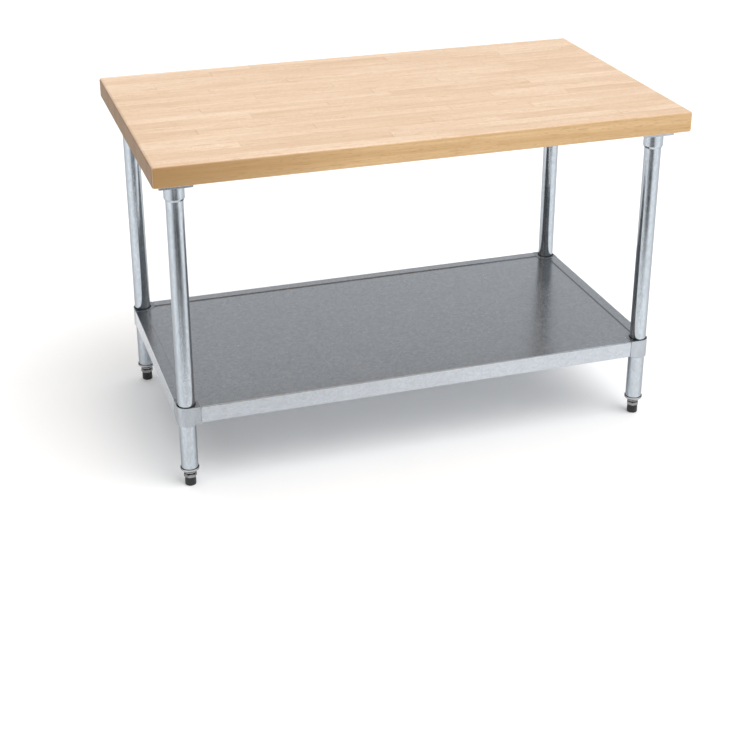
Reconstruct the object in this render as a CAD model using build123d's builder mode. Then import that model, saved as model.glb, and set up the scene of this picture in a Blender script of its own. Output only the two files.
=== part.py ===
from build123d import *
import os

# Butcher block work table: an edge-glued maple top on two steel hat channels, four tubular
# legs in set-screw sockets, a height-adjustable sheet steel undershelf on four corner clamps,
# and four levelling feet.
# Frame: origin on the floor at the centre of the footprint, +X along the length to the right,
# +Y to the back, +Z up. Millimetres.

# ---------------------------------------------------------------- driving dimensions
top_length = 1400.0
top_depth = 790.0
top_thick = 54.0
top_z = 900.0                       # working height
stave_count = 19
edge_round = 7.0                    # top edges and vertical corners
under_round = 5.0                   # lower edges

leg_x = 636.0                       # leg centres
leg_y = 314.0
leg_r = 44.45 / 2
leg_wall = 1.5
leg_bottom_z = 50.0

channel_web = 84.0                  # hat channel: lower web, between the wood and the sockets
channel_depth = 22.0
channel_flange = 18.0
channel_sheet = 2.0
channel_half = 345.0

socket_r = 26.0
socket_bore_r = 22.40
socket_bottom_z = 787.0
socket_cone = 6.0

shelf_z = 233.0                     # top of the undershelf's rim
shelf_out = 26.0                    # shelf faces outside the leg centres
shelf_flange = 46.0
shelf_sheet = 1.2
shelf_lip = 14.0
shelf_rim = 30.0                    # flat rim round the recessed field
shelf_step = 2.6                    # depth of the recessed field

clamp_r = 26.0                      # corner clamp, outside of its ring
clamp_bore_r = 24.4
clamp_wing = 32.0
clamp_cut = 10.0
clamp_bottom_z = 179.0
clamp_gap = 1.6

insert_lip_r = 24.6
insert_plug_r = 20.6
thread_r = 9.9
thread_bore_r = 10.2
hex_flats = 30.0
pad_r = 14.5
pad_h = 24.0

under_z = top_z - top_thick
channel_z = under_z - channel_depth
leg_top_z = channel_z - channel_sheet - 0.5
corners = {"lf": (-1, -1), "rf": (1, -1), "lb": (-1, 1), "rb": (1, 1)}

os.makedirs("parts", exist_ok=True)


# ---------------------------------------------------------------- wood top
# One slab with its rounded edges, drilled for the channel screws. Each board is cut from it.
screw_rows = (-306.0, -140.0, 22.0, 145.0, 310.0)
screw_off = channel_web / 2 + channel_flange / 2
screw_points = [
    (side * leg_x + s * screw_off, y)
    for side in (-1, 1)
    for s in (-1, 1)
    for y in screw_rows
]

with BuildPart() as slab:
    with BuildSketch(Plane.XY.offset(under_z)):
        Rectangle(top_length, top_depth)
    extrude(amount=top_thick)
    fillet(slab.edges().filter_by(Axis.Z), radius=edge_round)
    fillet(slab.faces().sort_by(Axis.Z)[-1].edges(), radius=edge_round)
    fillet(slab.faces().sort_by(Axis.Z)[0].edges(), radius=under_round)
    with BuildSketch(Plane.XY.offset(under_z)):
        with Locations(*screw_points):
            Circle(2.45)
    extrude(amount=27.0, mode=Mode.SUBTRACT)

# Where each stave's boards meet end to end, along X. The front stave is a single board, and the
# others are two to four.
board_joints = [
    (),
    (-95.0, 520.0),
    (-465.0, 210.0),
    (40.0,),
    (-255.0, 330.0),
    (-545.0, 120.0),
    (-60.0, 470.0),
    (-385.0, 265.0),
    (-170.0, 560.0),
    (-500.0, 15.0, 410.0),
    (-25.0,),
    (-335.0, 180.0),
    (-110.0, 495.0),
    (-440.0, 70.0),
    (-215.0, 360.0),
    (-570.0, 235.0),
    (-130.0, 440.0),
    (-400.0, 110.0),
    (-280.0, 300.0),
]
pitch = top_depth / stave_count
# Sawn strips are not all one width: each glue line sits a little off the even pitch.
line_shift = [0.0, 1.4, -0.9, 0.6, -1.6, 1.1, 0.2, -1.3, 1.7, -0.4, 0.9, -1.1, 1.5, -0.6, -1.5, 0.8, 1.2, -1.0, 0.5, 0.0]
lines_y = [-top_depth / 2 + i * pitch + line_shift[i] for i in range(stave_count + 1)]

for i in range(stave_count):
    y0, y1 = lines_y[i], lines_y[i + 1]
    ends = [-top_length / 2, *board_joints[i], top_length / 2]
    boards = []
    for a, b in zip(ends[:-1], ends[1:]):
        with BuildPart() as board:
            add(slab.part)
            with BuildSketch(Plane.XY.offset(under_z)):
                with Locations(((a + b) / 2, (y0 + y1) / 2)):
                    Rectangle(b - a, y1 - y0)
            extrude(amount=top_thick, mode=Mode.INTERSECT)
        boards.append(board.part.solid())
    name = f"top_stave_{i + 1:02d}"
    stave = Compound(children=boards, label=name)
    export_step(stave, f"parts/{name}.step")


# ---------------------------------------------------------------- hat channels under the top
for side, name in ((-1, "channel_left"), (1, "channel_right")):
    w, f, t = channel_web / 2, channel_flange, channel_sheet
    with BuildPart() as channel:
        front_end = Plane(origin=(side * leg_x, -channel_half, 0), x_dir=(1, 0, 0), z_dir=(0, -1, 0))
        with BuildSketch(front_end):
            with BuildLine():
                lower = FilletPolyline(
                    (-w - f, under_z - t), (-w, under_z - t), (-w, channel_z),
                    (w, channel_z), (w, under_z - t), (w + f, under_z - t),
                    radius=[1.0, 3.0, 3.0, 1.0],
                )
                upper = FilletPolyline(
                    (w + f, under_z), (w - t, under_z), (w - t, channel_z + t),
                    (-w + t, channel_z + t), (-w + t, under_z), (-w - f, under_z),
                    radius=[3.0, 1.0, 1.0, 3.0],
                )
                Line(lower @ 1, upper @ 0)
                Line(upper @ 1, lower @ 0)
            make_face()
        extrude(amount=-2 * channel_half)
        # the web's ends are turned up and close the section
        for end in (-channel_half, channel_half - t):
            with BuildSketch(Plane(origin=(side * leg_x, end, (channel_z + under_z) / 2), x_dir=(1, 0, 0), z_dir=(0, 1, 0))):
                Rectangle(2 * w - t, channel_depth - 1.0)
            extrude(amount=t)
        # clearance holes for the wood screws, through both flanges
        with BuildSketch(Plane.XY.offset(under_z)):
            with Locations(*[p for p in screw_points if p[0] * side > 0]):
                Circle(2.7)
        extrude(amount=-channel_sheet, mode=Mode.SUBTRACT)
    channel.part.label = name
    export_step(channel.part, f"parts/{name}.step")

# Pan head wood screws, up through the flanges into the boards.
screws = []
head_z = under_z - channel_sheet
for x, y in screw_points:
    with BuildPart() as screw:
        with BuildSketch(Plane(origin=(x, y, 0), x_dir=(1, 0, 0), z_dir=(0, -1, 0))):
            with BuildLine():
                Line((0, head_z - 2.6), (2.2, head_z - 2.6))
                ThreePointArc((2.2, head_z - 2.6), (4.0, head_z - 1.7), (4.6, head_z))
                Polyline((4.6, head_z), (2.35, head_z), (2.35, under_z + 20.0), (0, under_z + 26.0), (0, head_z - 2.6))
            make_face()
        revolve(axis=Axis((x, y, 0), (0, 0, 1)))
        # cross recess
        with BuildSketch(Plane.XY.offset(head_z - 2.6)):
            with Locations((x, y)):
                Rectangle(4.2, 0.9)
                Rectangle(0.9, 4.2)
        extrude(amount=1.5, mode=Mode.SUBTRACT)
    screws.append(screw.part.solid())
channel_screws = Compound(children=screws, label="channel_screws")
export_step(channel_screws, "parts/channel_screws.step")


# ---------------------------------------------------------------- sockets, legs, inserts, feet
socket_set_screws = []
for tag, (sx, sy) in corners.items():
    cx, cy = sx * leg_x, sy * leg_y
    spin = Axis((cx, cy, 0), (0, 0, 1))
    section = Plane(origin=(cx, cy, 0), x_dir=(1, 0, 0), z_dir=(0, -1, 0))
    grub_z = channel_z - 18.0
    # a plane through the leg's axis that looks inboard, towards the table's middle
    inboard = Plane(origin=(cx, cy, grub_z), x_dir=(1, 0, 0), z_dir=(0, -sy, 0))

    # Socket: a cup welded under the channel, its mouth tapered on the outside.
    with BuildPart() as socket:
        with BuildSketch(section):
            with BuildLine():
                Polyline(
                    (0, channel_z), (socket_r, channel_z), (socket_r, socket_bottom_z + socket_cone),
                    (socket_bore_r + 1.0, socket_bottom_z), (socket_bore_r, socket_bottom_z),
                    (socket_bore_r, leg_top_z + 0.3), (0, leg_top_z + 0.3), (0, channel_z),
                )
            make_face()
        revolve(axis=spin)
        with BuildSketch(inboard.offset(leg_r)):
            Circle(4.0)
        extrude(amount=6.0, mode=Mode.SUBTRACT)
    socket.part.label = f"leg_socket_{tag}"
    export_step(socket.part, f"parts/leg_socket_{tag}.step")

    # Its set screw, with a hex recess.
    with BuildPart() as grub:
        with BuildSketch(inboard.offset(leg_r + 0.1)):
            Circle(3.95)
        extrude(amount=7.0)
        chamfer(grub.edges().group_by(Axis.Y)[0 if sy > 0 else -1], length=0.6)
        with BuildSketch(inboard.offset(leg_r + 7.1)):
            RegularPolygon(2.3, 6)
        extrude(amount=-3.5, mode=Mode.SUBTRACT)
    socket_set_screws.append(grub.part.solid())

    # Leg: round steel tube.
    with BuildPart() as leg:
        with BuildSketch(Plane.XY.offset(leg_bottom_z)):
            with Locations((cx, cy)):
                Circle(leg_r)
                Circle(leg_r - leg_wall, mode=Mode.SUBTRACT)
        extrude(amount=leg_top_z - leg_bottom_z)
    leg.part.label = f"leg_{tag}"
    export_step(leg.part, f"parts/leg_{tag}.step")

    # Insert pressed into the leg's lower end: a shallow cup round the tube and a cone below it,
    # tapped through.
    with BuildPart() as insert:
        with BuildSketch(section):
            with BuildLine():
                Polyline(
                    (thread_bore_r, 37.5), (16.2, 37.5), (17.0, 38.3), (17.0, 40.0), (insert_lip_r - 0.6, 46.4),
                    (insert_lip_r, 47.4), (insert_lip_r, 51.8), (insert_lip_r - 0.4, 52.2), (insert_lip_r - 0.9, 52.2),
                    (insert_lip_r - 1.1, 52.0), (insert_lip_r - 1.1, leg_bottom_z), (insert_plug_r, leg_bottom_z),
                    (insert_plug_r, 84.0), (insert_plug_r - 1.5, 86.0), (thread_bore_r, 86.0), (thread_bore_r, 37.5),
                )
            make_face()
        revolve(axis=spin)
    insert.part.label = f"leg_insert_{tag}"
    export_step(insert.part, f"parts/leg_insert_{tag}.step")

    # Levelling foot: spigot, hex, neck and threaded stud in one turned piece.
    # The thread stands as plain rings at its pitch.
    with BuildPart() as stud:
        with BuildSketch(Plane.XY.offset(pad_h)):
            with Locations((cx, cy)):
                RegularPolygon(hex_flats / 2, 6, major_radius=False)
        extrude(amount=9.0)
        # bevelled corners
        with BuildSketch(section):
            with BuildLine():
                Polyline((0, pad_h), (15.4, pad_h), (17.4, 25.2), (17.4, 31.8), (15.4, 33.0), (0, 33.0), (0, pad_h))
            make_face()
        revolve(axis=spin, mode=Mode.INTERSECT)
        with BuildSketch(section):
            with BuildLine():
                pts = [(0, 10.5), (6.0, 10.5), (7.0, 11.5), (7.0, pad_h + 1.0), (11.5, pad_h + 1.0), (11.5, 35.0), (8.6, 35.0)]
                z = 36.0
                while z < 78.0:
                    pts += [(8.6, z), (thread_r, z + 0.9), (thread_r, z + 1.4), (8.6, z + 2.3)]
                    z += 2.5
                pts += [(8.6, z), (7.6, z + 1.2), (0, z + 1.2), (0, 10.5)]
                Polyline(*pts)
            make_face()
        revolve(axis=spin)
    stud.part.label = f"foot_stud_{tag}"
    export_step(stud.part, f"parts/foot_stud_{tag}.step")

    # Moulded pad pushed on the spigot.
    with BuildPart() as pad:
        with BuildSketch(section):
            with BuildLine():
                Polyline(
                    (0, 0), (pad_r - 1.5, 0), (pad_r, 1.5), (pad_r, 12.0), (pad_r - 0.8, pad_h - 1.0),
                    (pad_r - 1.8, pad_h), (7.1, pad_h), (7.1, 10.4), (0, 10.4), (0, 0),
                )
            make_face()
        revolve(axis=spin)
    pad.part.label = f"foot_pad_{tag}"
    export_step(pad.part, f"parts/foot_pad_{tag}.step")

socket_screws = Compound(children=socket_set_screws, label="socket_set_screws")
export_step(socket_screws, "parts/socket_set_screws.step")


# ---------------------------------------------------------------- undershelf
shelf_x = leg_x + shelf_out
shelf_y = leg_y + shelf_out
field_x = shelf_x - shelf_rim
field_y = shelf_y - shelf_rim
field_z = shelf_z - shelf_step                      # top of the recessed field
turns = {"lf": 0, "rf": 90, "rb": 180, "lb": 270}   # each clamp is the same casting, turned

with BuildPart() as shelf:
    # flat rim
    with BuildSketch(Plane.XY.offset(shelf_z - shelf_sheet)):
        Rectangle(2 * shelf_x - 20, 2 * shelf_y - 20)
        Rectangle(2 * field_x, 2 * field_y, mode=Mode.SUBTRACT)
    extrude(amount=shelf_sheet)
    # step down to the field
    with BuildSketch(Plane.XY.offset(field_z - shelf_sheet)):
        Rectangle(2 * (field_x + shelf_sheet), 2 * (field_y + shelf_sheet))
        Rectangle(2 * field_x, 2 * field_y, mode=Mode.SUBTRACT)
    extrude(amount=shelf_step + shelf_sheet)
    # recessed field
    with BuildSketch(Plane.XY.offset(field_z - shelf_sheet)):
        Rectangle(2 * field_x, 2 * field_y)
    extrude(amount=shelf_sheet)
    # bends of the step: round at the rim, filled at the field
    at_rim = [e for e in shelf.edges() if abs(e.center().Z - shelf_z) < 0.01 and abs(e.center().X) < field_x + 0.01 and abs(e.center().Y) < field_y + 0.01]
    fillet(at_rim, radius=1.0)
    at_field = [e for e in shelf.edges() if abs(e.center().Z - field_z) < 0.01 and abs(e.center().X) < field_x + 0.01 and abs(e.center().Y) < field_y + 0.01]
    fillet(at_field, radius=1.0)
    # four flanges with a rounded bend above and a return lip below
    for start, inward, along, run in (
        ((-shelf_x, -shelf_y, 0), (0, 1, 0), (1, 0, 0), 2 * shelf_x),
        ((shelf_x, -shelf_y, 0), (-1, 0, 0), (0, 1, 0), 2 * shelf_y),
        ((shelf_x, shelf_y, 0), (0, -1, 0), (-1, 0, 0), 2 * shelf_x),
        ((-shelf_x, shelf_y, 0), (1, 0, 0), (0, -1, 0), 2 * shelf_y),
    ):
        with BuildSketch(Plane(origin=start, x_dir=inward, z_dir=along)):
            with BuildLine():
                skin = FilletPolyline(
                    (12, shelf_z), (0, shelf_z), (0, shelf_z - shelf_flange), (shelf_lip, shelf_z - shelf_flange),
                    radius=[2.4, 2.4],
                )
                back = FilletPolyline(
                    (shelf_lip, shelf_z - shelf_flange + shelf_sheet), (shelf_sheet, shelf_z - shelf_flange + shelf_sheet),
                    (shelf_sheet, shelf_z - shelf_sheet), (12, shelf_z - shelf_sheet),
                    radius=[1.2, 1.2],
                )
                Line(skin @ 1, back @ 0)
                Line(back @ 1, skin @ 0)
            make_face()
        extrude(amount=run)
    # corner notches for the clamps, a little clear of them all round
    n, c = clamp_wing + clamp_gap, clamp_cut + clamp_gap * 0.4
    for tag, (sx, sy) in corners.items():
        spot = Plane(origin=(sx * leg_x, sy * leg_y, 170.0), x_dir=Vector(1, 0, 0).rotate(Axis.Z, turns[tag]), z_dir=(0, 0, 1))
        with BuildSketch(spot):
            with BuildLine():
                Polyline((-40, -40), (n, -40), (n, c), (c, n), (-40, n), (-40, -40))
            make_face()
        extrude(amount=80.0, mode=Mode.SUBTRACT)
shelf.part.label = "shelf_panel"
export_step(shelf.part, "parts/shelf_panel.step")

# Hat section welded under the field, along its middle.
with BuildPart() as stiffener:
    sz = field_z - shelf_sheet
    with BuildSketch(Plane(origin=(-620, 0, 0), x_dir=(0, 1, 0), z_dir=(1, 0, 0))):
        with BuildLine():
            low = FilletPolyline(
                (-55, sz - 1.2), (-37, sz - 1.2), (-32, sz - 25), (32, sz - 25), (37, sz - 1.2), (55, sz - 1.2),
                radius=[1.2, 2.4, 2.4, 1.2],
            )
            high = FilletPolyline(
                (55, sz), (35.9, sz), (30.9, sz - 23.8), (-30.9, sz - 23.8), (-35.9, sz), (-55, sz),
                radius=[2.4, 1.2, 1.2, 2.4],
            )
            Line(low @ 1, high @ 0)
            Line(high @ 1, low @ 0)
        make_face()
    extrude(amount=1240)
stiffener.part.label = "shelf_stiffener"
export_step(stiffener.part, "parts/shelf_stiffener.step")

clamp_set_screws = []
for tag, (sx, sy) in corners.items():
    cx, cy = sx * leg_x, sy * leg_y
    spin = Axis((cx, cy, 0), (0, 0, 1))
    inward_x = Vector(1, 0, 0).rotate(Axis.Z, turns[tag])
    base = Plane(origin=(cx, cy, 0), x_dir=inward_x, z_dir=(0, 0, 1))
    diagonal = Vector(1, 0, 0).rotate(Axis.Z, turns[tag] + 45)
    boss_z = 206.0
    w, c = clamp_wing, clamp_cut
    rim_under = shelf_z - shelf_sheet

    # Corner clamp: a casting, round outside the leg, with two wings flush with the shelf's
    # flanges and a slanted face across its inner corner.
    with BuildPart() as clamp:
        with BuildSketch(base.offset(clamp_bottom_z)) as plan:
            Circle(clamp_r)
            with BuildLine():
                Polyline((0, -clamp_r), (w, -clamp_r), (w, c), (c, w), (-clamp_r, w), (-clamp_r, 0), (0, 0), (0, -clamp_r))
            make_face()
            fillet([v for v in plan.vertices() if v.Y < -24 and v.X > 30 or v.X < -24 and v.Y > 30], radius=1.2)
            fillet([v for v in plan.vertices() if v.X > c - 1 and v.Y > c - 1 and v.X + v.Y > 40], radius=4.0)
        extrude(amount=shelf_z - clamp_bottom_z)
        fillet(clamp.faces().sort_by(Axis.Z)[-1].outer_wire().edges(), radius=0.8)
        # the underside rises from the ring out along the wings
        with BuildSketch(Plane(origin=(cx, cy, 0), x_dir=(1, 0, 0), z_dir=(0, -1, 0))):
            with BuildLine():
                Polyline(
                    (0, clamp_bottom_z), (clamp_r - 0.6, clamp_bottom_z), (clamp_r + 0.4, clamp_bottom_z + 1.0),
                    (60, clamp_bottom_z + 19.0), (60, shelf_z), (0, shelf_z), (0, clamp_bottom_z),
                )
            make_face()
        revolve(axis=spin, mode=Mode.INTERSECT)
        # the bore is relieved above a close hole at its lower end
        with BuildSketch(base.offset(clamp_bottom_z + 10.0)):
            Circle(clamp_bore_r)
        extrude(amount=shelf_z - clamp_bottom_z, mode=Mode.SUBTRACT)
        with BuildSketch(base.offset(clamp_bottom_z - 5)):
            Circle(leg_r + 0.55)
        extrude(amount=20.0, mode=Mode.SUBTRACT)
        # tongues behind the flanges, each with a rib that the rim rests on
        for inset, low, high in ((shelf_sheet, 198.0, 226.0), (shelf_sheet + 1.4, 212.0, rim_under)):
            near, far = -clamp_r + inset, -clamp_r + 5.6
            with BuildSketch(base.offset(low)):
                with BuildLine():
                    Polyline((w - 4, near), (w + 20, near), (w + 20, far), (w - 4, far), (w - 4, near))
                make_face()
                with BuildLine():
                    Polyline((near, w - 4), (near, w + 20), (far, w + 20), (far, w - 4), (near, w - 4))
                make_face()
            extrude(amount=high - low)
        # boss for the set screw on the slanted face, tapped through
        with BuildSketch(Plane(origin=Vector(cx, cy, boss_z) + diagonal * 26.0, z_dir=diagonal)):
            Circle(6.5)
        extrude(amount=9.0)
        with BuildSketch(Plane(origin=Vector(cx, cy, boss_z) + diagonal * 23.0, z_dir=diagonal)):
            Circle(4.0)
        extrude(amount=16.0, mode=Mode.SUBTRACT)
    clamp.part.label = f"shelf_clamp_{tag}"
    export_step(clamp.part, f"parts/shelf_clamp_{tag}.step")

    with BuildPart() as grub:
        with BuildSketch(Plane(origin=Vector(cx, cy, boss_z) + diagonal * (leg_r + 0.35), z_dir=diagonal)):
            Circle(3.95)
        extrude(amount=14.0)
        with BuildSketch(Plane(origin=Vector(cx, cy, boss_z) + diagonal * (leg_r + 14.35), z_dir=diagonal)):
            RegularPolygon(2.3, 6)
        extrude(amount=-4.0, mode=Mode.SUBTRACT)
    clamp_set_screws.append(grub.part.solid())

clamp_screws = Compound(children=clamp_set_screws, label="clamp_set_screws")
export_step(clamp_screws, "parts/clamp_set_screws.step")
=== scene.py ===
import math
import random

import bpy
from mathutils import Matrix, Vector


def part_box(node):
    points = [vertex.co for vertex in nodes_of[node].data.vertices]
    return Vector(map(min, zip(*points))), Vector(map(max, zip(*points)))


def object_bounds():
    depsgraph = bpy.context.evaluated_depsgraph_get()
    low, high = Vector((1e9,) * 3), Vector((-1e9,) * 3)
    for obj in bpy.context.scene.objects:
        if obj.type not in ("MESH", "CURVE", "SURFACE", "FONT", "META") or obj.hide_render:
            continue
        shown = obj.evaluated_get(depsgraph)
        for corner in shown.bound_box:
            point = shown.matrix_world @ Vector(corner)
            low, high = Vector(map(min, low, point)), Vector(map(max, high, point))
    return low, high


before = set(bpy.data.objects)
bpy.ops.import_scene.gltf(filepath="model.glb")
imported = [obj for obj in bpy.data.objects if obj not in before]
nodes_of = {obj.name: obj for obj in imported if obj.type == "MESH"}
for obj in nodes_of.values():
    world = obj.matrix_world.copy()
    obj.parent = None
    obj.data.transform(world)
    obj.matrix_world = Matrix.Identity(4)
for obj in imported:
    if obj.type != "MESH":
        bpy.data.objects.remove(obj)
cad_lo, cad_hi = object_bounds()
scene = bpy.context.scene

# ------------------------------------------------------------------ camera
AZ, PITCH = math.radians(-18.078), math.radians(24.343)
back = Vector((math.sin(AZ) * math.cos(PITCH), -math.cos(AZ) * math.cos(PITCH), math.sin(PITCH)))
cam_data = bpy.data.cameras.new("camera")
cam_data.sensor_width = 36.0
cam_data.lens = 72.2
cam_data.shift_x = 0.0
cam_data.shift_y = -0.10
cam_data.clip_end = 100.0
cam_data.dof.use_dof = False
cam = bpy.data.objects.new("camera", cam_data)
cam.location = Vector((-0.0293, 0.0, 0.303)) + back * 4.235
cam.rotation_mode = "QUATERNION"
cam.rotation_quaternion = (-back).to_track_quat("-Z", "Y")
scene.collection.objects.link(cam)
scene.camera = cam
scene.view_settings.view_transform = "Standard"
scene.view_settings.look = "None"
scene.view_settings.exposure = 0.0
scene.view_settings.gamma = 1.0


# ------------------------------------------------------------------ node helpers
class Tree:
    """Builds one material's nodes: each call adds a node and returns its output socket."""

    def __init__(self, name):
        self.mat = bpy.data.materials.new(name)
        self.mat.use_nodes = True
        self.nt = self.mat.node_tree
        self.nt.nodes.clear()
        self.out = self.nt.nodes.new("ShaderNodeOutputMaterial")
        self.bsdf = self.nt.nodes.new("ShaderNodeBsdfPrincipled")
        self.nt.links.new(self.bsdf.outputs[0], self.out.inputs["Surface"])
        self._coord = None

    def put(self, sock, value):
        if isinstance(value, bpy.types.NodeSocket):
            self.nt.links.new(value, sock)
        elif value is not None:
            sock.default_value = value

    def shader(self, **kw):
        for key, value in kw.items():
            self.put(self.bsdf.inputs[key.replace("_", " ")], value)

    def coord(self):
        if self._coord is None:
            self._coord = self.nt.nodes.new("ShaderNodeTexCoord").outputs["Object"]
        return self._coord

    def normal(self):
        return self.nt.nodes.new("ShaderNodeNewGeometry").outputs["Normal"]

    def facing(self):
        n = self.nt.nodes.new("ShaderNodeLayerWeight")
        n.inputs["Blend"].default_value = 0.5
        return n.outputs["Facing"]

    def split(self, v):
        n = self.nt.nodes.new("ShaderNodeSeparateXYZ")
        self.put(n.inputs[0], v)
        return n.outputs[0], n.outputs[1], n.outputs[2]

    def join(self, x, y, z):
        n = self.nt.nodes.new("ShaderNodeCombineXYZ")
        for s, v in zip(n.inputs, (x, y, z)):
            self.put(s, v)
        return n.outputs[0]

    def math(self, op, a, b=0.0, c=None, clamp=False):
        n = self.nt.nodes.new("ShaderNodeMath")
        n.operation = op
        n.use_clamp = clamp
        self.put(n.inputs[0], a)
        self.put(n.inputs[1], b)
        if c is not None:
            self.put(n.inputs[2], c)
        return n.outputs[0]

    def vmul(self, v, scale, offset=(0, 0, 0)):
        n = self.nt.nodes.new("ShaderNodeMapping")
        self.put(n.inputs["Vector"], v)
        n.inputs["Scale"].default_value = scale
        self.put(n.inputs["Location"], offset)
        return n.outputs[0]

    def turn(self, v, angles):
        n = self.nt.nodes.new("ShaderNodeMapping")
        self.put(n.inputs["Vector"], v)
        n.inputs["Rotation"].default_value = angles
        return n.outputs[0]

    def vadd(self, a, b):
        n = self.nt.nodes.new("ShaderNodeVectorMath")
        n.operation = "ADD"
        self.put(n.inputs[0], a)
        self.put(n.inputs[1], b)
        return n.outputs[0]

    def noise(self, v, scale=1.0, detail=2.0, rough=0.5, distort=0.0, colour=False):
        n = self.nt.nodes.new("ShaderNodeTexNoise")
        self.put(n.inputs["Vector"], v)
        n.inputs["Scale"].default_value = scale
        n.inputs["Detail"].default_value = detail
        n.inputs["Roughness"].default_value = rough
        n.inputs["Distortion"].default_value = distort
        return n.outputs["Color" if colour else "Fac"]

    def cells(self, v, scale, feature="F1", what="Color", jitter=1.0):
        n = self.nt.nodes.new("ShaderNodeTexVoronoi")
        n.feature = feature
        self.put(n.inputs["Vector"], v)
        n.inputs["Scale"].default_value = scale
        n.inputs["Randomness"].default_value = jitter
        return n.outputs[what]

    def wave(self, v, scale, distort=0.0, detail=2.0, dscale=1.0, kind="BANDS", direction="X", profile="SIN"):
        n = self.nt.nodes.new("ShaderNodeTexWave")
        n.wave_type = kind
        if kind == "BANDS":
            n.bands_direction = direction
        else:
            n.rings_direction = direction
        n.wave_profile = profile
        self.put(n.inputs["Vector"], v)
        n.inputs["Scale"].default_value = scale
        n.inputs["Distortion"].default_value = distort
        n.inputs["Detail"].default_value = detail
        n.inputs["Detail Scale"].default_value = dscale
        return n.outputs["Fac"]

    def ramp(self, fac, stops, interp="LINEAR"):
        n = self.nt.nodes.new("ShaderNodeValToRGB")
        n.color_ramp.interpolation = interp
        el = n.color_ramp.elements
        while len(el) > 1:
            el.remove(el[-1])
        el[0].position = stops[0][0]
        el[0].color = self.rgba(stops[0][1])
        for pos, col in stops[1:]:
            e = el.new(pos)
            e.color = self.rgba(col)
        self.put(n.inputs[0], fac)
        return n.outputs["Color"]

    @staticmethod
    def rgba(c):
        return (c, c, c, 1.0) if isinstance(c, (int, float)) else (c[0], c[1], c[2], 1.0)

    def span(self, v, a, b, lo=0.0, hi=1.0, smooth=False):
        n = self.nt.nodes.new("ShaderNodeMapRange")
        n.clamp = True
        if smooth:
            n.interpolation_type = "SMOOTHSTEP"
        self.put(n.inputs["Value"], v)
        for key, val in (("From Min", a), ("From Max", b), ("To Min", lo), ("To Max", hi)):
            self.put(n.inputs[key], val)
        return n.outputs["Result"]

    def mix(self, fac, a, b, kind="MIX"):
        n = self.nt.nodes.new("ShaderNodeMix")
        n.data_type = "RGBA"
        n.blend_type = kind
        n.clamp_factor = True
        socks = {s.identifier: s for s in n.inputs}
        self.put(socks["Factor_Float"], fac)
        self.put(socks["A_Color"], a if isinstance(a, bpy.types.NodeSocket) else self.rgba(a))
        self.put(socks["B_Color"], b if isinstance(b, bpy.types.NodeSocket) else self.rgba(b))
        return {s.identifier: s for s in n.outputs}["Result_Color"]

    def grey(self, colour):
        n = self.nt.nodes.new("ShaderNodeSeparateColor")
        self.put(n.inputs[0], colour)
        return n.outputs[0], n.outputs[1], n.outputs[2]

    def bump(self, height, strength, distance, normal=None):
        n = self.nt.nodes.new("ShaderNodeBump")
        self.put(n.inputs["Height"], height)
        n.inputs["Strength"].default_value = strength
        n.inputs["Distance"].default_value = distance
        if normal is not None:
            self.put(n.inputs["Normal"], normal)
        return n.outputs[0]


def lin(r, g, b):
    """sRGB 0-255 to linear."""
    def f(c):
        c /= 255.0
        return c / 12.92 if c <= 0.04045 else ((c + 0.055) / 1.055) ** 2.4
    return (f(r), f(g), f(b))


# ------------------------------------------------------------------ maple
# The boards' ends, in metres, strip by strip from the front.
BUTTS = [
    (), (-0.095, 0.520), (-0.465, 0.210), (0.040,), (-0.255, 0.330), (-0.545, 0.120),
    (-0.060, 0.470), (-0.385, 0.265), (-0.170, 0.560), (-0.500, 0.015, 0.410), (-0.025,), (-0.335, 0.180),
    (-0.110, 0.495), (-0.440, 0.070), (-0.215, 0.360), (-0.570, 0.235), (-0.130, 0.440), (-0.400, 0.110),
    (-0.280, 0.300),
]
TOP_LIGHT = lin(244, 220, 196)
TOP_MID = lin(233, 204, 174)
TOP_DARK = lin(206, 168, 131)
END_LIGHT = lin(178, 145, 113)
END_DARK = lin(152, 119, 88)


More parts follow.
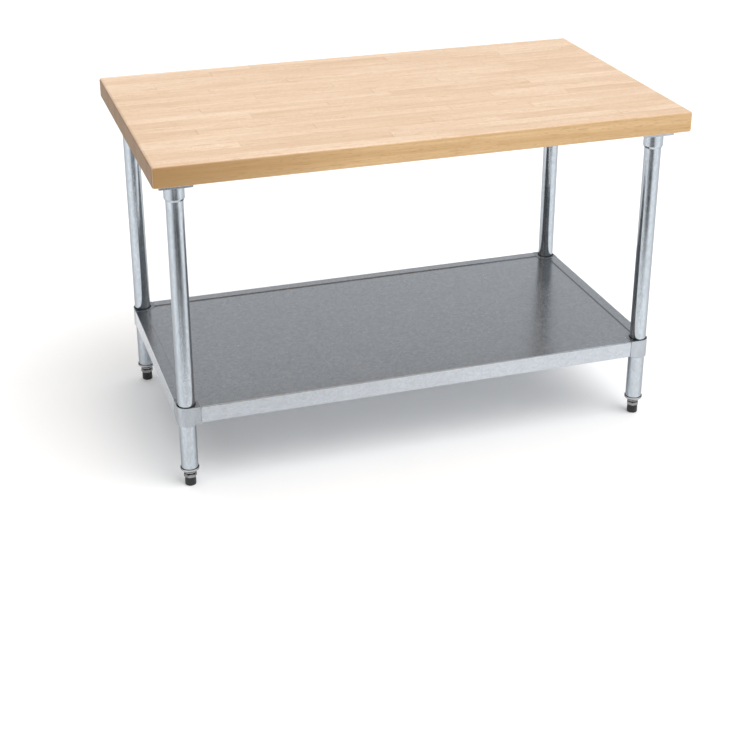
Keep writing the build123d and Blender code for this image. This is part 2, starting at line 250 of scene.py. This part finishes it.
def maple(index, name):
    rng = random.Random(4100 + index * 17)
    lo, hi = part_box(name)
    t = Tree("maple_%02d" % (index + 1))
    p = t.coord()
    x, y, z = t.split(p)
    half = cad_hi.x
    along = t.math("DIVIDE", t.math("ADD", x, half), 2 * half)
    # one random colour per board: red is its tone, green shifts its grain, blue its figure
    stops, last = [], 0.5
    for edge in (-half, *BUTTS[index]):
        tone = rng.random()
        while abs(tone - last) < 0.22:
            tone = rng.random()
        last = tone
        stops.append((max(0.0, (edge + half) / (2 * half)), (tone, rng.random(), rng.random())))
    board = t.ramp(along, stops, "CONSTANT")
    tone, shift, figure = t.grey(board)
    # each board's grain starts somewhere of its own, and runs a little off straight
    moved = t.vadd(p, t.join(t.math("MULTIPLY", shift, 37.0), t.math("MULTIPLY", tone, 5.3), t.math("MULTIPLY", figure, 7.9)))
    wob = t.noise(t.vmul(moved, (2.2, 5.0, 5.0)), detail=1.0)
    bent = t.vadd(moved, t.join(0.0, t.math("MULTIPLY", t.math("SUBTRACT", wob, 0.5), 0.016), 0.0))
    bands = t.noise(t.vmul(bent, (0.9, 62.0, 48.0)), detail=4.0, rough=0.62)
    fibres = t.noise(t.vmul(bent, (9.0, 720.0, 720.0)), detail=2.0, rough=0.6)
    broad = t.noise(t.vmul(moved, (2.1, 12.0, 12.0)), detail=2.0)
    flecks = t.noise(t.vmul(bent, (70.0, 620.0, 620.0)), detail=1.0, rough=0.4)
    fleck = t.span(flecks, 0.62, 0.74)
    # dashes: short darker marks that follow the grain
    dash = t.span(t.noise(t.vmul(bent, (20.0, 150.0, 150.0)), detail=2.0, rough=0.55), 0.60, 0.70)
    # ripples of curl across the grain, in patches, on some boards only
    slant = t.turn(t.vmul(moved, (1.0, 0.8, 0.8)), (0.0, 0.0, math.radians(17.0)))
    curl = t.wave(slant, 21.0, distort=13.0, detail=4.0, dscale=3.4)
    patch = t.span(t.noise(t.vmul(moved, (8.0, 34.0, 34.0)), detail=3.0, rough=0.6), 0.46, 0.62)
    curled = t.math("MULTIPLY", t.math("MULTIPLY", t.span(curl, 0.25, 0.9), patch), t.span(figure, 0.25, 0.8, 0.25, 1.0))
    # a few long mineral streaks
    streak = t.span(t.noise(t.vmul(bent, (2.6, 125.0, 125.0)), detail=3.0, rough=0.55), 0.64, 0.76)

    # a fine uneven cast over everything
    mottle = t.noise(t.vmul(moved, (70.0, 120.0, 120.0)), detail=3.0, rough=0.65)

    c = t.mix(t.span(bands, 0.34, 0.66), TOP_LIGHT, TOP_MID)
    c = t.mix(t.math("MULTIPLY", t.span(broad, 0.38, 0.66), 0.44), c, TOP_DARK)
    c = t.mix(t.span(tone, 0.0, 1.0, 0.0, 0.17), c, TOP_DARK)
    c = t.mix(t.span(mottle, 0.40, 0.66, 0.0, 0.24), c, TOP_DARK)
    c = t.mix(t.math("MULTIPLY", t.span(fibres, 0.42, 0.75), 0.24), c, TOP_DARK)
    c = t.mix(t.math("MULTIPLY", curled, 0.30), c, lin(250, 230, 206))
    c = t.mix(t.math("MULTIPLY", dash, 0.42), c, lin(198, 152, 110))
    c = t.mix(t.math("MULTIPLY", fleck, 0.22), c, lin(184, 142, 102))
    c = t.mix(t.math("MULTIPLY", streak, 0.30), c, lin(190, 144, 102))

    # the long sides show the boards' broader face, oiled deeper and warmer; part of that darkness is painted
    # shade, for side faces lit less than the top
    nx, ny, nz = t.split(t.normal())
    side = t.span(t.math("ABSOLUTE", ny), 0.55, 0.95, smooth=True)
    side_tone_and_shade = t.mix(t.span(bands, 0.32, 0.68), lin(226, 192, 146), lin(205, 166, 117))
    side_tone_and_shade = t.mix(t.math("MULTIPLY", t.span(fibres, 0.40, 0.75), 0.40), side_tone_and_shade, lin(176, 134, 86))
    side_tone_and_shade = t.mix(t.math("MULTIPLY", fleck, 0.35), side_tone_and_shade, lin(150, 108, 66))
    side_tone_and_shade = t.mix(t.math("MULTIPLY", dash, 0.30), side_tone_and_shade, lin(170, 122, 74))
    if index == 0:
        # the long front board is darker towards its left end: painted shade for light that falls off towards the
        # left
        left_shade_drift = t.math("ADD", x, t.math("MULTIPLY", t.math("SUBTRACT", broad, 0.5), 0.30))
        side_tone_and_shade = t.mix(t.span(left_shade_drift, -0.74, -0.10, 0.85, 0.0, smooth=True), side_tone_and_shade, lin(160, 122, 75))
    c = t.mix(side, c, side_tone_and_shade)

    # end grain: growth rings of a log whose heart lies far off, and open pores
    heart = t.join(0.0, -((lo.y + hi.y) / 2) + rng.uniform(-0.10, 0.10), -0.873 + rng.choice((-1, 1)) * rng.uniform(0.05, 0.12))
    rings = t.wave(t.vadd(t.vmul(p, (0.15, 1.0, 1.0)), heart), 72.0, distort=2.6, detail=3.0, dscale=1.2, kind="RINGS", direction="X")
    pores = t.span(t.noise(t.vmul(moved, (160.0, 1500.0, 1500.0)), detail=1.0), 0.56, 0.70)
    endc = t.mix(t.span(rings, 0.2, 0.95), END_LIGHT, END_DARK)
    endc = t.mix(t.math("MULTIPLY", pores, 0.4), endc, lin(112, 86, 62))
    endc = t.mix(t.span(tone, 0.0, 1.0, 0.0, 0.38), endc, lin(140, 110, 84))
    end = t.span(t.math("ABSOLUTE", nx), 0.62, 0.92, smooth=True)
    c = t.mix(end, c, endc)

    # thin glue lines along the strip and hairline butt joints
    gap = t.math("MINIMUM", t.math("ABSOLUTE", t.math("SUBTRACT", y, lo.y)), t.math("ABSOLUTE", t.math("SUBTRACT", y, hi.y)))
    glue = t.span(gap, 0.00012, 0.00055, 1.0, 0.0)
    butt = None
    for xj in BUTTS[index]:
        near = t.span(t.math("ABSOLUTE", t.math("SUBTRACT", x, xj)), 0.00015, 0.0007, 1.0, 0.0)
        butt = near if butt is None else t.math("MAXIMUM", butt, near)
    inner = t.math("SUBTRACT", 1.0, side)
    glue = t.math("MULTIPLY", glue, inner)
    c = t.mix(t.math("MULTIPLY", glue, 0.42), c, lin(150, 112, 78))
    if butt is not None:
        c = t.mix(t.math("MULTIPLY", butt, 0.55), c, lin(142, 104, 70))

    rough = t.math("ADD", t.span(fibres, 0.3, 0.7, 0.38, 0.50), t.math("MULTIPLY", end, 0.16))
    dips = t.math("ADD", t.math("MULTIPLY", fleck, 0.6), t.math("MULTIPLY", glue, 0.5))
    if butt is not None:
        dips = t.math("ADD", dips, t.math("MULTIPLY", butt, 0.7))
    height = t.math("SUBTRACT", t.math("MULTIPLY", fibres, 0.5), dips)
    t.shader(Base_Color=c, Roughness=rough, IOR=1.45, Normal=t.bump(height, 0.22, 0.0005))
    t.bsdf.inputs["Specular IOR Level"].default_value = 0.35
    return t.mat


# ------------------------------------------------------------------ metals and plastic
def galvanised(name, base=(0.60, 0.63, 0.67), cell=190.0, rough=0.26, stretch=(1.0, 1.0, 1.0), bumpy=0.03, contrast=1.0, crease_shade=False):
    """Zinc-coated sheet: small interlocking crystals that differ a little in tone and gloss."""
    t = Tree(name)
    p = t.coord()
    warp = t.noise(t.vmul(p, (60.0, 60.0, 60.0)), detail=2.0, colour=True)
    q = t.vadd(t.vmul(p, stretch), t.vmul(warp, (0.004, 0.004, 0.004)))
    c1, c2, _ = t.grey(t.cells(q, cell))
    f1, f2, _ = t.grey(t.cells(q, cell * 2.7))
    fine = t.noise(p, scale=900.0, detail=2.0)
    haze = t.noise(p, scale=9.0, detail=3.0, rough=0.6)
    b = Vector(base)
    lo, hi = tuple(b * (1 - 0.11 * contrast)), tuple(min(1.0, v * (1 + 0.10 * contrast)) for v in b)
    c = t.mix(c1, lo, hi)
    c = t.mix(t.math("MULTIPLY", f1, 0.35), c, hi)
    c = t.mix(t.span(haze, 0.35, 0.75, 0.0, 0.22), c, tuple(b * 0.84))
    c = t.mix(t.span(fine, 0.55, 0.75, 0.0, 0.16), c, tuple(b * 0.7))
    if crease_shade:
        # painted shade: the bend between the shelf's rim and its lower field is darkened where shade falls in the
        # crease
        x, y, z = t.split(p)
        off = t.math("MAXIMUM", t.math("SUBTRACT", t.math("ABSOLUTE", x), 0.6320), t.math("SUBTRACT", t.math("ABSOLUTE", y), 0.3100))
        crease_shade_line = t.span(t.math("ABSOLUTE", off), 0.0006, 0.0020, 1.0, 0.0, smooth=True)
        crease_shade_line = t.math("MULTIPLY", crease_shade_line, t.span(z, 0.2280, 0.2290))
        c = t.mix(t.math("MULTIPLY", crease_shade_line, 0.45), c, tuple(b * 0.30))
    r = t.math("ADD", t.span(c2, 0.0, 1.0, rough - 0.035, rough + 0.045), t.span(haze, 0.3, 0.8, -0.02, 0.05))
    h = t.math("ADD", t.math("MULTIPLY", f2, 0.4), t.math("MULTIPLY", fine, 0.6))
    nrm = t.bump(h, bumpy, 0.0004)
    t.shader(Base_Color=c, Roughness=r, Normal=nrm)
    t.bsdf.inputs["Metallic"].default_value = 1.0
    return t.mat


def tube(name):
    """Galvanised tube: long faint draw marks down its length over the crystals."""
    t = Tree(name)
    p = t.coord()
    c1, c2, _ = t.grey(t.cells(t.vmul(p, (1.0, 1.0, 0.42)), 210.0))
    draw = t.noise(t.vmul(p, (420.0, 420.0, 3.0)), detail=3.0, rough=0.6)
    slow = t.noise(t.vmul(p, (45.0, 45.0, 7.0)), detail=2.0)
    fine = t.noise(p, scale=1000.0, detail=1.0)
    base = Vector((0.545, 0.595, 0.645))
    c = t.mix(c1, tuple(base * 0.90), tuple(base * 1.08))
    c = t.mix(t.span(draw, 0.4, 0.8, 0.0, 0.35), c, tuple(base * 0.80))
    c = t.mix(t.span(slow, 0.5, 0.8, 0.0, 0.30), c, tuple(base * 0.86))
    c = t.mix(t.span(fine, 0.6, 0.8, 0.0, 0.2), c, tuple(base * 0.7))
    # painted shade: the tube is darkened towards its edges, where its surface turns away from view
    c = t.mix(t.span(t.facing(), 0.26, 0.66, 0.0, 0.80), c, tuple(base * 0.40))
    r = t.math("ADD", t.span(c2, 0.0, 1.0, 0.13, 0.19), t.span(draw, 0.3, 0.8, -0.02, 0.04))
    h = t.math("ADD", t.math("MULTIPLY", draw, 0.6), t.math("MULTIPLY", fine, 0.3))
    t.shader(Base_Color=c, Roughness=r, Normal=t.bump(h, 0.03, 0.0004))
    t.bsdf.inputs["Metallic"].default_value = 1.0
    return t.mat


def casting(name):
    """Die-cast alloy: a fine tumbled skin with soft flow marks."""
    t = Tree(name)
    p = t.coord()
    skin = t.noise(p, scale=520.0, detail=4.0, rough=0.65)
    flow = t.noise(t.vmul(p, (38.0, 38.0, 16.0)), detail=3.0, distort=0.8)
    pits = t.span(t.cells(p, 420.0, what="Distance"), 0.0, 0.16, 1.0, 0.0)
    pits = t.math("MULTIPLY", pits, t.span(t.noise(p, scale=150.0), 0.52, 0.6))
    base = Vector((0.475, 0.512, 0.553))
    c = t.mix(t.span(flow, 0.3, 0.7), tuple(base * 1.05), tuple(base * 0.88))
    c = t.mix(t.span(skin, 0.45, 0.75, 0.0, 0.3), c, tuple(base * 0.78))
    c = t.mix(t.math("MULTIPLY", pits, 0.5), c, tuple(base * 0.45))
    # painted shade: the casting is darkened towards its edges, where its surface turns away from view
    c = t.mix(t.span(t.facing(), 0.34, 0.72, 0.0, 0.55), c, tuple(base * 0.50))
    r = t.math("ADD", t.span(skin, 0.3, 0.7, 0.20, 0.28), t.span(flow, 0.3, 0.7, 0.0, 0.05))
    h = t.math("SUBTRACT", t.math("MULTIPLY", skin, 0.7), t.math("MULTIPLY", pits, 0.6))
    t.shader(Base_Color=c, Roughness=r, Normal=t.bump(h, 0.10, 0.0005))
    t.bsdf.inputs["Metallic"].default_value = 1.0
    return t.mat


def plated(name, base=(0.50, 0.50, 0.50), rough=0.16):
    """Turned and plated steel: fine rings left by the tool."""
    t = Tree(name)
    p = t.coord()
    turned = t.noise(t.vmul(p, (6.0, 6.0, 1900.0)), detail=2.0)
    smudge = t.noise(p, scale=70.0, detail=3.0)
    b = Vector(base)
    c = t.mix(t.span(smudge, 0.35, 0.7), tuple(b * 1.05), tuple(b * 0.86))
    c = t.mix(t.span(turned, 0.5, 0.8, 0.0, 0.3), c, tuple(b * 0.72))
    # painted shade: the plated part is darkened towards its edges, where its surface turns away from view
    c = t.mix(t.span(t.facing(), 0.30, 0.75, 0.0, 0.75), c, tuple(b * 0.28))
    r = t.math("ADD", t.span(smudge, 0.3, 0.7, rough, rough + 0.10), t.span(turned, 0.4, 0.8, 0.0, 0.06))
    t.shader(Base_Color=c, Roughness=r, Normal=t.bump(turned, 0.05, 0.0003))
    t.bsdf.inputs["Metallic"].default_value = 1.0
    return t.mat


def black_nylon(name):
    """Moulded pad: fine matt texture, greyer and scuffed towards the floor."""
    t = Tree(name)
    p = t.coord()
    x, y, z = t.split(p)
    grain = t.noise(p, scale=1400.0, detail=3.0, rough=0.6)
    scuff = t.noise(t.vmul(p, (240.0, 240.0, 90.0)), detail=3.0, rough=0.7)
    low = t.span(z, 0.0, 0.010, 1.0, 0.0)
    wear = t.math("MULTIPLY", low, t.span(scuff, 0.45, 0.7))
    c = t.mix(t.span(grain, 0.3, 0.7), (0.010, 0.010, 0.011), (0.022, 0.022, 0.024))
    c = t.mix(t.math("MULTIPLY", wear, 0.55), c, (0.085, 0.082, 0.078))
    r = t.math("ADD", t.span(grain, 0.3, 0.7, 0.38, 0.52), t.math("MULTIPLY", wear, 0.2))
    t.shader(Base_Color=c, Roughness=r, Normal=t.bump(grain, 0.12, 0.0004))
    return t.mat


def oxide(name, base, metallic, rough):
    """Small screws: a thin blotchy finish."""
    t = Tree(name)
    p = t.coord()
    blot = t.noise(p, scale=420.0, detail=3.0, rough=0.6)
    b = Vector(base)
    c = t.mix(t.span(blot, 0.35, 0.7), tuple(b * 1.15), tuple(b * 0.75))
    r = t.span(blot, 0.3, 0.7, rough - 0.05, rough + 0.1)
    t.shader(Base_Color=c, Roughness=r, Normal=t.bump(blot, 0.08, 0.0003))
    t.bsdf.inputs["Metallic"].default_value = metallic
    return t.mat


MATS = {
    "shelf": galvanised("galvanised_sheet", base=(0.535, 0.572, 0.618), cell=170.0, rough=0.20, bumpy=0.010, contrast=0.80, crease_shade=True),
    "channel": galvanised("galvanised_channel", base=(0.42, 0.46, 0.51), cell=150.0, rough=0.30),
    "tube": tube("galvanised_tube"),
    "cast": casting("cast_alloy"),
    "insert": plated("plated_insert", base=(0.50, 0.505, 0.51)),
    "stud": plated("plated_stud", base=(0.33, 0.33, 0.33), rough=0.20),
    "pad": black_nylon("black_nylon"),
    "zinc": oxide("zinc_screw", (0.62, 0.62, 0.58), 1.0, 0.32),
    "black": oxide("black_screw", (0.030, 0.030, 0.033), 0.6, 0.42),
}


def dress(name, mat):
    ob = nodes_of[name]
    if not ob.material_slots:
        ob.data.materials.append(mat)
    for s in ob.material_slots:
        s.material = mat


for i in range(19):
    name = "top_stave_%02d" % (i + 1)
    dress(name, maple(i, name))
for name in nodes_of:
    if name.startswith("top_stave"):
        continue
    if name.startswith("leg_socket"):
        dress(name, MATS["tube"])
    elif name.startswith("leg_insert"):
        dress(name, MATS["insert"])
    elif name.startswith("foot_stud"):
        dress(name, MATS["stud"])
    elif name.startswith("leg_"):
        dress(name, MATS["tube"])
    elif name.startswith("foot_pad"):
        dress(name, MATS["pad"])
    elif name.startswith("shelf_clamp"):
        dress(name, MATS["cast"])
    elif name in ("shelf_panel", "shelf_stiffener"):
        dress(name, MATS["shelf"])
    elif name.startswith("channel_screws"):
        dress(name, MATS["zinc"])
    elif name.startswith("channel"):
        dress(name, MATS["channel"])
    else:
        dress(name, MATS["black"])


# ------------------------------------------------------------------ studio
def floor():
    me = bpy.data.meshes.new("floor")
    s = 30.0
    me.from_pydata([(-s, -s, 0), (s, -s, 0), (s, s, 0), (-s, s, 0)], [], [(0, 1, 2, 3)])
    ob = bpy.data.objects.new("floor", me)
    ob.location.z = cad_lo.z - 0.0002
    scene.collection.objects.link(ob)
    t = Tree("floor_pale")
    soft = t.noise(t.coord(), scale=3.0, detail=2.0)
    # one-sided, so the table can also be seen from below
    under = t.nt.nodes.new("ShaderNodeNewGeometry").outputs["Backfacing"]
    t.shader(Base_Color=t.mix(soft, (0.90, 0.90, 0.90), (0.93, 0.93, 0.93)), Alpha=t.math("SUBTRACT", 1.0, under))
    t.bsdf.inputs["Roughness"].default_value = 0.9
    t.bsdf.inputs["Specular IOR Level"].default_value = 0.1
    t.bsdf.inputs["Emission Color"].default_value = (1.0, 1.0, 1.0, 1.0)
    t.bsdf.inputs["Emission Strength"].default_value = 0.13
    me.materials.append(t.mat)


def sun(name, towards, energy, width, shine=True, colour=(1, 1, 1)):
    data = bpy.data.lights.new(name, "SUN")
    data.energy = energy
    data.angle = math.radians(width)
    data.color = colour
    ob = bpy.data.objects.new(name, data)
    ob.rotation_mode = "QUATERNION"
    ob.rotation_quaternion = Vector(towards).to_track_quat("Z", "Y")
    ob.visible_glossy = shine
    scene.collection.objects.link(ob)


def reflected_shade(name, centre, radius):
    """A dark sheet standing in for unlit ground in front of the set: painted shade that shows only as dark
    reflections in polished metal; it fades out at its rim.
    """
    me = bpy.data.meshes.new(name)
    ring = [(radius * math.cos(math.tau * i / 96), radius * math.sin(math.tau * i / 96), 0.0) for i in range(96)]
    me.from_pydata(ring, [], [tuple(range(96))])
    ob = bpy.data.objects.new(name, me)
    ob.location = (centre[0], centre[1], cad_lo.z + 0.0006)
    scene.collection.objects.link(ob)
    t = Tree(name)
    x, y, z = t.split(t.coord())
    r = t.math("SQRT", t.math("ADD", t.math("MULTIPLY", x, x), t.math("MULTIPLY", y, y)))
    t.shader(Base_Color=t.mix(t.noise(t.coord(), scale=4.0), (0.03, 0.03, 0.03), (0.05, 0.05, 0.05)),
             Alpha=t.span(r, radius * 0.10, radius, 0.92, 0.0, smooth=True))
    t.bsdf.inputs["Roughness"].default_value = 0.9
    me.materials.append(t.mat)
    ob.visible_camera = ob.visible_diffuse = ob.visible_shadow = ob.visible_transmission = ob.visible_volume_scatter = False


def studio_world():
    """Soft room light: brighter low at the back, dim behind the camera and on the left."""
    world = bpy.data.worlds.new("studio")
    world.use_nodes = True
    nt = world.node_tree
    helper = Tree.__new__(Tree)
    helper.nt, helper._coord = nt, None
    d = nt.nodes.new("ShaderNodeTexCoord").outputs["Generated"]
    x, y, z = helper.split(d)
    rise = helper.grey(helper.ramp(z, ((0.0, 0.72), (0.20, 0.70), (0.34, 0.64), (0.42, 0.44), (0.52, 0.33), (0.75, 0.30), (1.0, 0.40))))[0]
    behind = helper.span(helper.math("SUBTRACT", y, helper.math("MULTIPLY", z, 0.45)), -0.62, 0.10, 0.46, 1.0, smooth=True)
    left = helper.span(x, -0.92, -0.30, 0.30, 1.0, smooth=True)
    level = helper.math("MULTIPLY", helper.math("MULTIPLY", rise, behind), left)
    back = nt.nodes["Background"]
    nt.links.new(helper.mix(level, (0, 0, 0), (1, 1, 1)), back.inputs["Color"])
    back.inputs["Strength"].default_value = 1.0
    scene.world = world


floor()
studio_world()
sun("key", (0.50, -0.58, 0.84), 1.76, 60.0, shine=False)
sun("overhead", (0.10, 0.05, 1.0), 1.72, 95.0)
reflected_shade("dark_ground_left", (-0.98, -2.24), 2.05)
reflected_shade("dark_ground_right", (-0.36, -2.12), 1.55)
